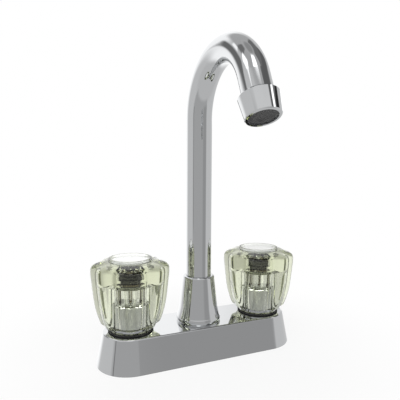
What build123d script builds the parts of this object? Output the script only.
from build123d import *
import os
from math import atan2, cos, degrees, radians, sin

# Bar faucet with two fluted clear knobs and a swivelling gooseneck spout.
# Millimetres. X runs along the base, the spout points to -Y and Z is up.
# The origin is the middle of the base, on the deck that the faucet stands on.

# Overall sizes
valve_spacing = 101.6
cover_height = 22.8
knob_radius = 27.0
tube_radius = 9.15
spout_rise = 168.4
bend_radius = 38.9
bend_angle = 155.6
nose_length = 25.5

# Clearances, and how far a cutting shape reaches past the face that it cuts
thread_clearance = 0.05
running_clearance = 0.05
loose_clearance = 0.3
overcut = 1.0

# Deck cover and gasket
cover_inset = 4.4
cover_wall = 1.8
cover_edge_radius = 1.2
cover_side_room = 2.8
gasket_thickness = 2.4

# Shanks, washers and lock nuts below the deck
shank_radius = 10.3
shank_wall = 3.7
washer_drop = 14.0
washer_reach = 5.7
washer_thickness = 1.5
lock_nut_height = 5.0
lock_nut_wall = 4.2
lock_nut_wings = 4
lock_nut_wing_reach = 4.0
lock_nut_wing_width = 5.0
thread_past_nut = 1.0
relief_length = 1.5
relief_depth = 0.7
inlet_thread_length = 23.0

# Valve bodies
barrel_wall = 6.8
chamber_radius = 6.2
chamber_floor = 2.0
neck_wall = 1.6
seat_ledge = 1.6
seat_pocket_depth = 7.0
seat_web = 3.0
seat_hole_radius = 2.6

# Crossover tubes
crossover_radius = 4.75
crossover_wall = 0.8
crossover_socket = 3.0

# Cartridges
cartridge_lift = 0.6
cartridge_floor = 1.5
cartridge_wall = 1.2
cartridge_flange_height = 2.0
cartridge_collar_wall = 1.15
cartridge_collar_height = 4.0
window_radius = 2.4

# Valve seats and their springs
seat_height = 4.0
port_radius = 2.2
spring_wire = 0.8
spring_turns = 2.5

# Stems
plunger_wall = 1.5
plunger_reach = 6.2
plunger_bore_reach = 3.45
plunger_shoulder = 0.9
stem_groove_drop = 7.0
stem_groove_width = 1.6
stem_groove_depth = 0.9
spline_teeth = 12
spline_depth = 0.5
spline_below_boss = 0.5

# Bonnet nuts and escutcheon nuts
bonnet_wall = 1.7
bonnet_thread = 8.5
bonnet_lip = 1.8
nut_gap = 1.5
escutcheon_thread = 5.2
escutcheon_foot_reach = 2.0
escutcheon_foot_height = 1.8
escutcheon_foot_chamfer = 0.6
escutcheon_wall = 1.05
escutcheon_headroom = 3.6
escutcheon_dome = 4.0
escutcheon_inner_slope = 2.4

# Fluted knobs, from the foot up
knob_lift = 4.8
knob_foot_radius = 19.2
knob_flank = 19.4
knob_boss_gap = 1.2
knob_boss_length = 10.4
knob_boss_wall = 1.6
knob_boss_chamfer = 0.6
knob_socket_depth = 10.9
knob_floor = 2.5
knob_shoulder_radius = 4.8
knob_rim_step = 2.2
knob_rim_wall = 1.55
knob_rim_chamfer = 0.6
knob_lobes = 8
knob_turn = 14.0
lobe_axis_foot = 10.2
lobe_axis_head = 15.0
lobe_flank_bulge = 0.78
cavity_gap = 1.1
cavity_cone_height = 1.6
cavity_cone_reach = 2.4
cavity_flutes = 24
cavity_flute_radius = 2.4
well_depth = 9.6
well_room = 1.9

# Index buttons and handle screws
button_radius = 13.2
button_thickness = 2.3
button_recess = 3.4
button_edge = 1.0
button_crown = 0.6
button_ledge = 3.2
button_skirt = 2.2
button_skirt_wall = 1.4
screw_radius = 1.75
screw_length = 14.0
screw_hole_spare = 2.0
screw_head_radius = 3.3
screw_head_height = 3.0
screw_head_chamfer = 0.7
screw_slot_width = 1.0
screw_slot_depth = 1.2

# Spout hub and collar
hub_floor = 2.6
hub_bore_step = 1.5
hub_socket_room = 1.85
hub_thread_wall = 1.6
hub_shoulder = 1.9
ring_proud = 0.25
collar_height = 33.2
collar_foot_reach = 3.4
collar_foot_height = 4.0
collar_bead = 0.5
collar_flare_reach = 1.3
collar_flare_height = 6.7
collar_lip_reach = 2.35
collar_lip = 1.4
collar_bearing = 6.0

# Spout tube and the tail that runs in the hub
tube_wall = 1.2
tail_port_gap = 0.55
tail_length = 8.8
tail_wall = 1.4
tail_spigot = 6.0
tail_flange_height = 3.0
tail_groove_width = 1.8
tail_groove_depth = 1.2
tail_groove_drops = (6.7, 3.6)
thrust_washer_thickness = 1.0
retaining_ring_height = 2.2
retaining_ring_slit = 2.5

# Aerator
aerator_length = 13.7
aerator_top_reach = 2.55
aerator_outlet_reach = 1.2
aerator_edge = 1.0
aerator_outlet_chamfer = 0.5
aerator_lip = 1.5
aerator_lip_cover = 0.65
aerator_washer_thickness = 1.2
aerator_washer_width = 2.15
aerator_core_height = 2.2
aerator_core_hub = 3.0
aerator_rib = 1.2
aerator_rib_overlap = 0.5
aerator_screen_thickness = 0.6
aerator_hole_radius = 0.8
aerator_hole_pitch = 2.6
aerator_hole_rows = 7

# Radii of the spout hub and collar, outwards from the tube
tube_bore_radius = tube_radius - tube_wall
hub_bore_radius = tube_radius - hub_bore_step
hub_socket_radius = tube_radius + hub_socket_room
hub_thread_radius = hub_socket_radius + hub_thread_wall
hub_radius = hub_thread_radius + hub_shoulder
collar_foot_radius = hub_thread_radius + collar_foot_reach
collar_flare_radius = hub_thread_radius + collar_flare_reach
collar_lip_radius = tube_radius + collar_lip_reach
aerator_bore_radius = tube_radius - aerator_washer_width

# Radii of one valve, outwards from the stem
plunger_radius = chamber_radius - cartridge_wall - 2 * running_clearance
stem_radius = plunger_radius - plunger_shoulder
spline_tip_radius = stem_radius - running_clearance
spline_root_radius = spline_tip_radius - spline_depth
cartridge_collar_radius = stem_radius + running_clearance + cartridge_collar_wall
seat_pocket_radius = chamber_radius - seat_ledge
barrel_radius = chamber_radius + barrel_wall
neck_radius = chamber_radius + neck_wall
inlet_radius = shank_radius - shank_wall
bonnet_flat_radius = neck_radius + bonnet_wall
bonnet_corner_radius = bonnet_flat_radius / cos(radians(30))
escutcheon_inner_radius = bonnet_corner_radius + loose_clearance
escutcheon_radius = escutcheon_inner_radius + escutcheon_wall
escutcheon_foot_radius = escutcheon_radius + escutcheon_foot_reach
escutcheon_hole_radius = cartridge_collar_radius + loose_clearance

# Radii of the knob, outwards from the screw
well_radius = screw_head_radius + well_room
well_mouth_radius = button_radius - button_ledge
knob_rim_radius = button_radius + running_clearance + knob_rim_wall
cavity_radius = escutcheon_radius + cavity_gap
knob_boss_radius = spline_tip_radius + running_clearance + knob_boss_wall

# Size and slope of the cover
cover_width = 2 * (hub_radius + cover_side_room + cover_wall + cover_inset)
cover_length = valve_spacing + cover_width
cover_underside = cover_height - cover_wall
cover_lean = degrees(atan2(cover_inset, cover_height))

# Heights in one valve, from the seat to the top of the knob
crossover_height = (gasket_thickness + cover_underside) / 2
seat_pocket_floor = chamber_floor - seat_pocket_depth
cartridge_bottom = chamber_floor + cartridge_lift
bonnet_bottom = cover_height + escutcheon_thread + nut_gap
neck_top = bonnet_bottom + bonnet_thread
cartridge_flange_top = neck_top + cartridge_flange_height
bonnet_top = cartridge_flange_top + bonnet_lip
escutcheon_top = bonnet_top + escutcheon_headroom
escutcheon_shoulder = escutcheon_top - escutcheon_dome
stem_groove_bottom = neck_top - stem_groove_drop
knob_bottom = cover_height + knob_lift
knob_waist = knob_bottom + knob_flank
knob_boss_bottom = escutcheon_top + knob_boss_gap
cavity_top = knob_boss_bottom + knob_boss_length
cavity_shoulder = cavity_top - cavity_cone_height
spline_top = knob_boss_bottom + knob_socket_depth
well_floor = spline_top + knob_floor
button_seat = well_floor + well_depth
knob_top = button_seat + button_recess
knob_shoulder_top = knob_top - knob_rim_step
knob_widest = knob_shoulder_top - knob_shoulder_radius

# Heights in the spout hub, from the water port to the top of the retaining ring
tail_bottom = crossover_height + crossover_radius - crossover_wall + tail_port_gap
tail_flange_bottom = tail_bottom + tail_length
tube_foot = tail_flange_bottom + tail_flange_height
ring_top = tube_foot + running_clearance + retaining_ring_height
hub_top = ring_top - ring_proud
hub_socket_floor = tail_flange_bottom - thrust_washer_thickness
tail_groove_heights = [tail_flange_bottom - drop for drop in tail_groove_drops]

# Places along the spout's nose
aerator_start = nose_length - aerator_length
screen_top = nose_length - aerator_lip - aerator_screen_thickness
aerator_core_top = screen_top - aerator_core_height
tube_nose = aerator_core_top - aerator_washer_thickness

# Depths below the deck
mounting_thread_length = washer_drop + washer_thickness + lock_nut_height + thread_past_nut
shank_length = mounting_thread_length + relief_length + inlet_thread_length

sides = {"left": -1, "right": 1}


def turned(points):
    """A solid turned about the Z axis from an outline of (radius, height) points."""
    outline = Polyline([(r, 0, z) for r, z in points], close=True)
    return revolve(make_face(outline), Axis.Z)


def turned_outline(lines):
    """A solid turned about the Z axis from lines and arcs drawn in the XZ plane."""
    edges = [edge for line in lines for edge in line.edges()]
    return revolve(make_face(Wire(edges)), Axis.Z)


def tube(outer, inner, bottom, top):
    """A plain ring or tube about the Z axis."""
    return turned([(inner, bottom), (outer, bottom), (outer, top), (inner, top)])


def quarter_round(radius, height, size):
    """The edge that turns a wall standing at a radius into a flat top, as a quarter circle."""
    inner = radius - size
    reach = size * sin(radians(45))
    return ThreePointArc(
        (radius, 0, height), (inner + reach, 0, height + reach), (inner, 0, height + size)
    )


def across(radius, length, height):
    """A round bar along +X from the Z axis, at the given height."""
    return Pos(0, 0, height) * Rot(0, 90, 0) * Cylinder(
        radius, length, align=(Align.CENTER, Align.CENTER, Align.MIN)
    )


def at_valve(part, side):
    """The part moved from the Z axis to the valve axis of one side."""
    return Pos(sides[side] * valve_spacing / 2, 0, 0) * part


def facing_middle(part, side):
    """A part made pointing along +X, turned to point at the spout from one side."""
    return Rot(0, 0, 180 if side == "right" else 0) * part


def make_deck_cover():
    """The plated shell, open below, with holes for both valve necks and the spout hub."""
    shell = extrude(SlotOverall(cover_length, cover_width), cover_height, taper=cover_lean)
    top_edges = shell.edges().group_by(Axis.Z)[-1]
    shell = fillet(top_edges, cover_edge_radius)
    hollow_outline = SlotOverall(cover_length - 2 * cover_wall, cover_width - 2 * cover_wall)
    shell -= extrude(hollow_outline, cover_underside, taper=cover_lean)
    for side in sides:
        shell -= at_valve(Cylinder(neck_radius + loose_clearance, 3 * cover_height), side)
    shell -= Cylinder(hub_thread_radius + loose_clearance, 3 * cover_height)
    return shell


def make_deck_gasket():
    """The soft plate that closes the cover's underside and seals it to the deck."""
    lean = cover_inset * gasket_thickness / cover_height
    margin = 2 * (cover_wall + lean + loose_clearance)
    plate = extrude(SlotOverall(cover_length - margin, cover_width - margin), gasket_thickness)
    for side in sides:
        plate -= at_valve(Cylinder(shank_radius + loose_clearance, 3 * gasket_thickness), side)
    return plate


def make_valve_body(side):
    """One valve body: threaded shank below, barrel under the cover, neck above it."""
    relief_radius = shank_radius - relief_depth
    relief_top = -mounting_thread_length
    relief_bottom = relief_top - relief_length
    web_bottom = seat_pocket_floor - seat_web
    body = turned(
        [
            (inlet_radius, -shank_length),
            (shank_radius, -shank_length),
            (shank_radius, relief_bottom),
            (relief_radius, relief_bottom),
            (relief_radius, relief_top),
            (shank_radius, relief_top),
            (shank_radius, gasket_thickness),
            (barrel_radius, gasket_thickness),
            (barrel_radius, cover_underside),
            (neck_radius, cover_underside),
            (neck_radius, neck_top),
            (chamber_radius, neck_top),
            (chamber_radius, chamber_floor),
            (seat_pocket_radius, chamber_floor),
            (seat_pocket_radius, seat_pocket_floor),
            (seat_hole_radius, seat_pocket_floor),
            (seat_hole_radius, web_bottom),
            (inlet_radius, web_bottom),
        ]
    )
    port = across(crossover_radius - crossover_wall, 2 * barrel_radius, crossover_height)
    socket_start = barrel_radius - crossover_socket
    socket = Pos(socket_start, 0, 0) * across(
        crossover_radius + thread_clearance, barrel_radius, crossover_height
    )
    body -= facing_middle(port, side)
    body -= facing_middle(socket, side)
    return at_valve(body, side)


def make_crossover_tube(side):
    """The copper tube that joins one valve body to the spout hub."""
    start = hub_radius - crossover_socket
    end = valve_spacing / 2 - barrel_radius + crossover_socket
    bar = across(crossover_radius, end - start, crossover_height)
    bar -= across(crossover_radius - crossover_wall, end - start, crossover_height)
    return facing_middle(Pos(start, 0, 0) * bar, "left" if side == "right" else "right")


def make_valve_seat(side):
    """The rubber seat ring, pressed up against the cartridge floor."""
    bottom = cartridge_bottom - seat_height
    outer = seat_pocket_radius - running_clearance
    return at_valve(tube(outer, port_radius, bottom, cartridge_bottom), side)


def make_seat_spring(side):
    """The coil spring that lifts the seat ring."""
    free_height = cartridge_bottom - seat_height - seat_pocket_floor
    coil_radius = seat_pocket_radius - loose_clearance - spring_wire / 2
    travel = free_height - spring_wire - 2 * running_clearance
    coil = Helix(pitch=travel / spring_turns, height=travel, radius=coil_radius)
    section = Plane(origin=coil @ 0, z_dir=coil % 0) * Rectangle(spring_wire, spring_wire)
    spring = sweep(section, coil, is_frenet=True)
    bottom = seat_pocket_floor + spring_wire / 2 + running_clearance
    return at_valve(Pos(0, 0, bottom) * spring, side)


def make_cartridge(side):
    """The fixed sleeve that guides the stem, with a window towards the spout."""
    outer = chamber_radius - running_clearance
    bore = stem_radius + running_clearance
    plunger_bore = plunger_radius + running_clearance
    plunger_room = crossover_height + plunger_reach + running_clearance
    sleeve = turned(
        [
            (port_radius, cartridge_bottom),
            (outer, cartridge_bottom),
            (outer, neck_top),
            (neck_radius - running_clearance, neck_top),
            (neck_radius - running_clearance, cartridge_flange_top),
            (cartridge_collar_radius, cartridge_flange_top),
            (cartridge_collar_radius, cartridge_flange_top + cartridge_collar_height),
            (bore, cartridge_flange_top + cartridge_collar_height),
            (bore, plunger_room),
            (plunger_bore, plunger_room),
            (plunger_bore, cartridge_bottom + cartridge_floor),
            (port_radius, cartridge_bottom + cartridge_floor),
        ]
    )
    window = across(window_radius, 2 * chamber_radius, crossover_height)
    sleeve -= facing_middle(window, side)
    return at_valve(sleeve, side)


def spline_outline(tip, root):
    """A toothed outline with alternating tips and roots."""
    corners = []
    for step in range(2 * spline_teeth):
        radius = tip if step % 2 == 0 else root
        angle = radians(180 * step / spline_teeth)
        corners.append((radius * cos(angle), radius * sin(angle)))
    return make_face(Polyline(corners, close=True))


def make_valve_stem(side):
    """The turning stem: ported plunger, sealed shaft and splined top."""
    bottom = cartridge_bottom + cartridge_floor + running_clearance
    plunger_top = crossover_height + plunger_reach
    bore_radius = plunger_radius - plunger_wall
    bore_top = crossover_height + plunger_bore_reach
    groove_radius = stem_radius - stem_groove_depth
    groove_top = stem_groove_bottom + stem_groove_width
    spline_bottom = knob_boss_bottom - spline_below_boss
    stem = turned(
        [
            (0, bore_top),
            (bore_radius, bore_top),
            (bore_radius, bottom),
            (plunger_radius, bottom),
            (plunger_radius, plunger_top),
            (stem_radius, plunger_top),
            (stem_radius, stem_groove_bottom),
            (groove_radius, stem_groove_bottom),
            (groove_radius, groove_top),
            (stem_radius, groove_top),
            (stem_radius, spline_bottom),
            (0, spline_bottom),
        ]
    )
    teeth = spline_outline(spline_tip_radius, spline_root_radius)
    stem += Pos(0, 0, spline_bottom) * extrude(teeth, spline_top - spline_bottom)
    tapped_radius = screw_radius + thread_clearance
    tapped_floor = well_floor - screw_length - screw_hole_spare
    stem -= turned(
        [(0, tapped_floor), (tapped_radius, tapped_floor), (tapped_radius, spline_top), (0, spline_top)]
    )
    port = across(window_radius, 2 * plunger_radius, crossover_height)
    closed_turn = -90 if side == "left" else 90
    stem -= facing_middle(Rot(0, 0, closed_turn) * port, side)
    return at_valve(stem, side)


def make_stem_seal(side):
    """The square seal ring in the stem's groove."""
    inner = stem_radius - stem_groove_depth
    outer = stem_radius + running_clearance / 2
    groove_top = stem_groove_bottom + stem_groove_width
    return at_valve(tube(outer, inner, stem_groove_bottom, groove_top), side)


def make_bonnet_nut(side):
    """The hexagon nut that holds the cartridge down in the valve body."""
    nut = extrude(RegularPolygon(bonnet_corner_radius, 6), bonnet_top - bonnet_bottom)
    nut = Pos(0, 0, bonnet_bottom) * nut
    thread = neck_radius + thread_clearance
    hole = cartridge_collar_radius + thread_clearance
    nut -= turned(
        [
            (0, bonnet_bottom),
            (thread, bonnet_bottom),
            (thread, cartridge_flange_top),
            (hole, cartridge_flange_top),
            (hole, bonnet_top),
            (0, bonnet_top),
        ]
    )
    return at_valve(nut, side)


def make_escutcheon_nut(side):
    """The plated nut that clamps the cover to one valve body, with a domed sleeve above."""
    thread = neck_radius + thread_clearance
    thread_top = cover_height + escutcheon_thread
    foot_top = cover_height + escutcheon_foot_height
    foot_edge = foot_top - escutcheon_foot_chamfer
    foot_ledge = escutcheon_foot_radius - escutcheon_foot_chamfer
    inner_top = escutcheon_top - escutcheon_wall
    outline = [
        (escutcheon_radius - escutcheon_dome, 0, escutcheon_top),
        (escutcheon_hole_radius, 0, escutcheon_top),
        (escutcheon_hole_radius, 0, inner_top),
        (escutcheon_inner_radius - escutcheon_inner_slope, 0, inner_top),
        (escutcheon_inner_radius, 0, bonnet_top + loose_clearance),
        (escutcheon_inner_radius, 0, thread_top),
        (thread, 0, thread_top),
        (thread, 0, cover_height),
        (escutcheon_foot_radius, 0, cover_height),
        (escutcheon_foot_radius, 0, foot_edge),
        (foot_ledge, 0, foot_top),
        (escutcheon_radius, 0, foot_top),
        (escutcheon_radius, 0, escutcheon_shoulder),
    ]
    dome = quarter_round(escutcheon_radius, escutcheon_shoulder, escutcheon_dome)
    return at_valve(turned_outline([Polyline(outline), dome]), side)


def lobe_axis(height):
    """How far a lobe's leaning axis stands from the knob's axis at a height."""
    share = (height - knob_bottom) / (knob_top - knob_bottom)
    return lobe_axis_foot + share * (lobe_axis_head - lobe_axis_foot)


def make_lobe():
    """One petal of the knob: a leaning, domed bar cut to its share of the circle."""
    lean = atan2(lobe_axis_head - lobe_axis_foot, knob_top - knob_bottom)
    radius = (knob_radius - lobe_axis(knob_widest)) * cos(lean)
    foot = (knob_foot_radius - lobe_axis_foot) * cos(lean)
    start = knob_bottom - overcut
    middle = (start + knob_waist) / 2
    middle_radius = foot + lobe_flank_bulge * (radius - foot)
    top_radius = radius - knob_shoulder_radius
    edges = [
        Line((0, 0, start), (foot, 0, start)),
        ThreePointArc((foot, 0, start), (middle_radius, 0, middle), (radius, 0, knob_waist)),
        Line((radius, 0, knob_waist), (radius, 0, knob_widest)),
        quarter_round(radius, knob_widest, knob_shoulder_radius),
        Line((top_radius, 0, knob_shoulder_top), (0, 0, knob_shoulder_top)),
        Line((0, 0, knob_shoulder_top), (0, 0, start)),
    ]
    bar = Pos(0, 0, -knob_bottom) * turned_outline(edges)
    bar = Pos(lobe_axis_foot, 0, knob_bottom) * Rot(0, degrees(lean), 0) * bar
    half_share = radians(180 / knob_lobes)
    far = 2 * knob_radius
    spread = far * sin(half_share) / cos(half_share)
    wedge = make_face(Polyline([(0, 0), (far, -spread), (far, spread)], close=True))
    return bar & Pos(0, 0, knob_bottom) * extrude(wedge, knob_top - knob_bottom)


def knob_form(first_lobe):
    """The knob's outer form: a ring of petals round a straight core."""
    height = knob_top - knob_bottom
    core = Pos(0, 0, knob_bottom + height / 2) * Cylinder(knob_rim_radius, height)
    core = chamfer(core.edges().group_by(Axis.Z)[-1], knob_rim_chamfer)
    lobe = make_lobe()
    for spot in PolarLocations(0, knob_lobes, start_angle=first_lobe):
        core += spot * lobe
    return core


def knob_cavity(first_flute):
    """The hollow over the bonnet: fluted all round, with the boss hanging in its middle."""
    start = knob_bottom - overcut
    hollow = turned(
        [
            (0, start),
            (cavity_radius, start),
            (cavity_radius, cavity_shoulder),
            (cavity_radius - cavity_cone_reach, cavity_top),
            (knob_boss_radius, cavity_top),
            (knob_boss_radius, knob_boss_bottom + knob_boss_chamfer),
            (knob_boss_radius - knob_boss_chamfer, knob_boss_bottom),
            (0, knob_boss_bottom),
        ]
    )
    flute_centre = cavity_radius - cavity_flute_radius
    outline = Circle(flute_centre)
    for spot in PolarLocations(flute_centre, cavity_flutes, start_angle=first_flute):
        outline += spot * Circle(cavity_flute_radius)
    return hollow & Pos(0, 0, start) * extrude(outline, cavity_top - start)


def make_handle_knob(side):
    """The clear knob: petals outside, a boss with a splined socket, and a screw well."""
    first_lobe = -90 + sides[side] * knob_turn + 180 / knob_lobes
    knob = knob_form(first_lobe) - knob_cavity(first_lobe)
    socket = spline_outline(
        spline_tip_radius + running_clearance, spline_root_radius + running_clearance
    )
    knob -= Pos(0, 0, knob_boss_bottom) * extrude(socket, knob_socket_depth)
    screw_hole = screw_radius + loose_clearance
    recess_radius = button_radius + running_clearance
    mouth_floor = button_seat - button_skirt - loose_clearance
    knob -= turned(
        [
            (0, spline_top),
            (screw_hole, spline_top),
            (screw_hole, well_floor),
            (well_radius, well_floor),
            (well_mouth_radius, mouth_floor),
            (well_mouth_radius, button_seat),
            (recess_radius, button_seat),
            (recess_radius, knob_top + overcut),
            (0, knob_top + overcut),
        ]
    )
    return at_valve(knob, side)


def make_handle_screw(side):
    """The slotted screw that draws the knob down onto the stem."""
    head_top = well_floor + screw_head_height
    tip = well_floor - screw_length
    screw = turned(
        [
            (0, tip),
            (screw_radius, tip),
            (screw_radius, well_floor),
            (screw_head_radius, well_floor),
            (screw_head_radius, head_top - screw_head_chamfer),
            (screw_head_radius - screw_head_chamfer, head_top),
            (0, head_top),
        ]
    )
    slot_length = 2 * (screw_head_radius + overcut)
    screw -= Pos(0, 0, head_top) * Box(slot_length, screw_slot_width, 2 * screw_slot_depth)
    return at_valve(screw, side)


def make_index_button(side):
    """The plain round button that snaps over the screw well."""
    top = button_seat + button_thickness
    skirt_outer = well_mouth_radius - running_clearance
    button = turned(
        [
            (0, button_seat),
            (skirt_outer - button_skirt_wall, button_seat),
            (skirt_outer - button_skirt_wall, button_seat - button_skirt),
            (skirt_outer, button_seat - button_skirt),
            (skirt_outer, button_seat),
            (button_radius, button_seat),
            (button_radius, top - button_crown),
            (button_radius - button_edge, top),
            (0, top),
        ]
    )
    return at_valve(button, side)


def make_mounting_washer(side):
    """The flat washer that bears on the underside of the deck."""
    top = -washer_drop
    outer = shank_radius + washer_reach
    ring = tube(outer, shank_radius + loose_clearance, top - washer_thickness, top)
    return at_valve(ring, side)


def make_lock_nut(side):
    """The winged nut that draws the faucet down onto the deck."""
    top = -washer_drop - washer_thickness
    outer = shank_radius + lock_nut_wall
    nut = Cylinder(outer, lock_nut_height)
    reach = outer + lock_nut_wing_reach
    for wing in PolarLocations(reach / 2, lock_nut_wings):
        nut += wing * Box(reach, lock_nut_wing_width, lock_nut_height)
    nut -= Cylinder(shank_radius + thread_clearance, 2 * lock_nut_height)
    return at_valve(Pos(0, 0, top - lock_nut_height / 2) * nut, side)


def make_spout_hub():
    """The body under the spout, fed by both crossover tubes."""
    chamber_bottom = gasket_thickness + hub_floor
    hub = turned(
        [
            (0, gasket_thickness),
            (hub_radius, gasket_thickness),
            (hub_radius, cover_underside),
            (hub_thread_radius, cover_underside),
            (hub_thread_radius, hub_top),
            (hub_socket_radius, hub_top),
            (hub_socket_radius, hub_socket_floor),
            (hub_bore_radius, hub_socket_floor),
            (hub_bore_radius, chamber_bottom),
            (0, chamber_bottom),
        ]
    )
    port = across(crossover_radius - crossover_wall, 2 * hub_radius, crossover_height)
    socket = Pos(hub_radius - crossover_socket, 0, 0) * across(
        crossover_radius + thread_clearance, hub_radius, crossover_height
    )
    for side in sides:
        hub -= facing_middle(port, side)
        hub -= facing_middle(socket, side)
    return hub


def make_thrust_washer():
    """The slippery washer under the spout's flange."""
    outer = hub_socket_radius - loose_clearance
    inner = hub_bore_radius + loose_clearance
    return tube(outer, inner, hub_socket_floor, tail_flange_bottom - running_clearance)


def make_retaining_ring():
    """The split ring that the collar presses down over the spout's flange."""
    inner = tube_radius + running_clearance
    outer = hub_socket_radius - thread_clearance
    ring = tube(outer, inner, ring_top - retaining_ring_height, ring_top)
    slit_height = 2 * (retaining_ring_height + overcut)
    slit = Pos(0, outer, ring_top) * Box(retaining_ring_slit, 2 * outer, slit_height)
    return ring - slit


def make_spout_collar():
    """The plated conical nut that screws onto the hub and steadies the spout."""
    thread = hub_thread_radius + thread_clearance
    bearing = tube_radius + running_clearance
    relief = tube_radius + 2 * loose_clearance
    top = cover_height + collar_height
    lip_bottom = top - collar_lip
    foot_top = cover_height + collar_foot_height
    flare_top = foot_top + collar_flare_height
    foot_corner = collar_foot_radius - collar_bead
    cone_run = (collar_flare_radius - collar_lip_radius, 0, flare_top - lip_bottom)
    inside = [
        (collar_lip_radius - collar_lip, 0, top),
        (bearing, 0, top),
        (bearing, 0, top - collar_bearing),
        (relief, 0, top - collar_bearing),
        (relief, 0, ring_top),
        (thread, 0, ring_top),
        (thread, 0, cover_height),
        (foot_corner, 0, cover_height),
    ]
    edges = [
        Polyline(inside),
        ThreePointArc(
            (foot_corner, 0, cover_height),
            (collar_foot_radius, 0, cover_height + collar_foot_height / 2),
            (foot_corner, 0, foot_top),
        ),
        TangentArc(
            (collar_flare_radius, 0, flare_top), (foot_corner, 0, foot_top), tangent=cone_run
        ),
        Line((collar_flare_radius, 0, flare_top), (collar_lip_radius, 0, lip_bottom)),
        quarter_round(collar_lip_radius, lip_bottom, collar_lip),
    ]
    return turned_outline(edges)


def nose_plane():
    """The plane square to the spout where the bend ends, looking out of the spout."""
    turn = radians(bend_angle)
    end = (0, -bend_radius * (1 - cos(turn)), spout_rise + bend_radius * sin(turn))
    return Plane(origin=end, x_dir=(1, 0, 0), z_dir=(0, -sin(turn), cos(turn)))


def spout_path():
    """The centre line of the spout tube: leg, gooseneck bend and nose."""
    turn = radians(bend_angle)
    half_turn = radians(bend_angle / 2)
    nose = nose_plane()
    bend_start = (0, 0, spout_rise)
    bend_middle = (
        0,
        -bend_radius * (1 - cos(half_turn)),
        spout_rise + bend_radius * sin(half_turn),
    )
    bend_end = nose.origin
    tip = bend_end + nose.z_dir * tube_nose
    return Wire(
        [
            Line((0, 0, tube_foot), bend_start),
            ThreePointArc(bend_start, bend_middle, bend_end),
            Line(bend_end, tip),
        ]
    )


def make_spout_tube():
    """The gooseneck tube."""
    section = Pos(0, 0, tube_foot) * (Circle(tube_radius) - Circle(tube_bore_radius))
    return sweep(section, spout_path())


def make_spout_tail():
    """The turned fitting brazed into the foot of the tube, which seals in the hub."""
    running = hub_bore_radius - running_clearance
    groove = running - tail_groove_depth
    bore = groove - tail_wall
    flange = hub_socket_radius - 2 * running_clearance
    spigot = tube_bore_radius - thread_clearance
    points = [(bore, tail_bottom), (running, tail_bottom)]
    for height in tail_groove_heights:
        points += [
            (running, height),
            (groove, height),
            (groove, height + tail_groove_width),
            (running, height + tail_groove_width),
        ]
    points += [
        (running, tail_flange_bottom),
        (flange, tail_flange_bottom),
        (flange, tube_foot),
        (spigot, tube_foot),
        (spigot, tube_foot + tail_spigot),
        (bore, tube_foot + tail_spigot),
    ]
    return turned(points)


def make_spout_seals():
    """The two seal rings in the tail's grooves."""
    running = hub_bore_radius - running_clearance
    inner = running - tail_groove_depth
    outer = hub_bore_radius - running_clearance / 2
    rings = [tube(outer, inner, h, h + tail_groove_width) for h in tail_groove_heights]
    return Compound(children=[ring.solid() for ring in rings])


def at_nose(part):
    """The part moved from the Z axis to the spout's nose."""
    return nose_plane().location * part


def make_aerator_housing():
    """The plated tapered shell screwed onto the end of the spout."""
    bore = tube_radius + thread_clearance
    top_radius = tube_radius + aerator_top_reach
    outlet_radius = tube_radius + aerator_outlet_reach
    lip_radius = tube_radius - aerator_lip_cover
    return at_nose(
        turned(
            [
                (bore, aerator_start),
                (top_radius - aerator_edge, aerator_start),
                (top_radius, aerator_start + aerator_edge),
                (outlet_radius, nose_length - aerator_outlet_chamfer),
                (outlet_radius - aerator_outlet_chamfer, nose_length),
                (lip_radius, nose_length),
                (lip_radius, nose_length - aerator_lip),
                (bore, nose_length - aerator_lip),
            ]
        )
    )


def make_aerator_washer():
    """The rubber washer between the tube's end and the aerator core."""
    outer = tube_radius - thread_clearance
    return at_nose(tube(outer, aerator_bore_radius, tube_nose, aerator_core_top))


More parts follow.
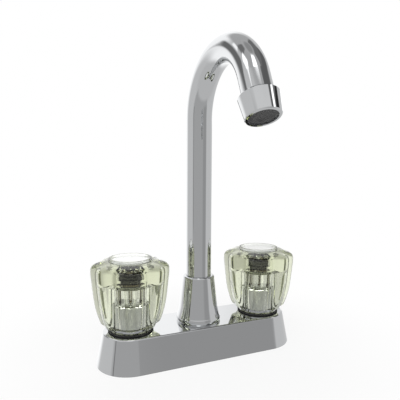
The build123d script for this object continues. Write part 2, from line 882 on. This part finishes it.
def make_aerator_core():
    """The ribbed plastic core that breaks up the stream."""
    outer = tube_radius - thread_clearance
    core = tube(outer, aerator_bore_radius, aerator_core_top, screen_top)
    middle = Pos(0, 0, (aerator_core_top + screen_top) / 2)
    rib_length = 2 * (aerator_bore_radius + aerator_rib_overlap)
    for turn in (0, 60, 120):
        core += middle * Rot(0, 0, turn) * Box(rib_length, aerator_rib, aerator_core_height)
    core += middle * Cylinder(aerator_core_hub, aerator_core_height)
    return at_nose(core)


def make_aerator_screen():
    """The pierced disc at the outlet."""
    outer = tube_radius - thread_clearance
    disc = Pos(0, 0, screen_top + aerator_screen_thickness / 2) * Cylinder(
        outer, aerator_screen_thickness
    )
    grid = HexLocations(
        aerator_hole_pitch / 2, aerator_hole_rows, aerator_hole_rows, major_radius=False
    )
    for spot in grid:
        if spot.position.length > aerator_bore_radius:
            continue
        hole = Pos(spot.position.X, spot.position.Y, screen_top)
        disc -= hole * Cylinder(aerator_hole_radius, 4 * aerator_screen_thickness)
    return at_nose(disc)


def save(part, node):
    """Write one sub-part to its own file."""
    part.label = node
    export_step(part, f"parts/{node}.step")


single_pieces = {
    "deck_cover": make_deck_cover,
    "deck_gasket": make_deck_gasket,
    "spout_hub": make_spout_hub,
    "thrust_washer": make_thrust_washer,
    "retaining_ring": make_retaining_ring,
    "spout_collar": make_spout_collar,
    "spout_tube": make_spout_tube,
    "spout_tail": make_spout_tail,
    "spout_seals": make_spout_seals,
    "aerator_housing": make_aerator_housing,
    "aerator_washer": make_aerator_washer,
    "aerator_core": make_aerator_core,
    "aerator_screen": make_aerator_screen,
}

paired_pieces = {
    "valve_body": make_valve_body,
    "crossover_tube": make_crossover_tube,
    "valve_seat": make_valve_seat,
    "seat_spring": make_seat_spring,
    "cartridge": make_cartridge,
    "valve_stem": make_valve_stem,
    "stem_seal": make_stem_seal,
    "bonnet_nut": make_bonnet_nut,
    "escutcheon_nut": make_escutcheon_nut,
    "handle_knob": make_handle_knob,
    "handle_screw": make_handle_screw,
    "index_button": make_index_button,
    "mounting_washer": make_mounting_washer,
    "lock_nut": make_lock_nut,
}

os.makedirs("parts", exist_ok=True)
for node, make in single_pieces.items():
    save(make(), node)
for node, make in paired_pieces.items():
    for side in sides:
        save(make(side), f"{node}_{side}")
print("wrote", len(single_pieces) + 2 * len(paired_pieces), "sub-parts")
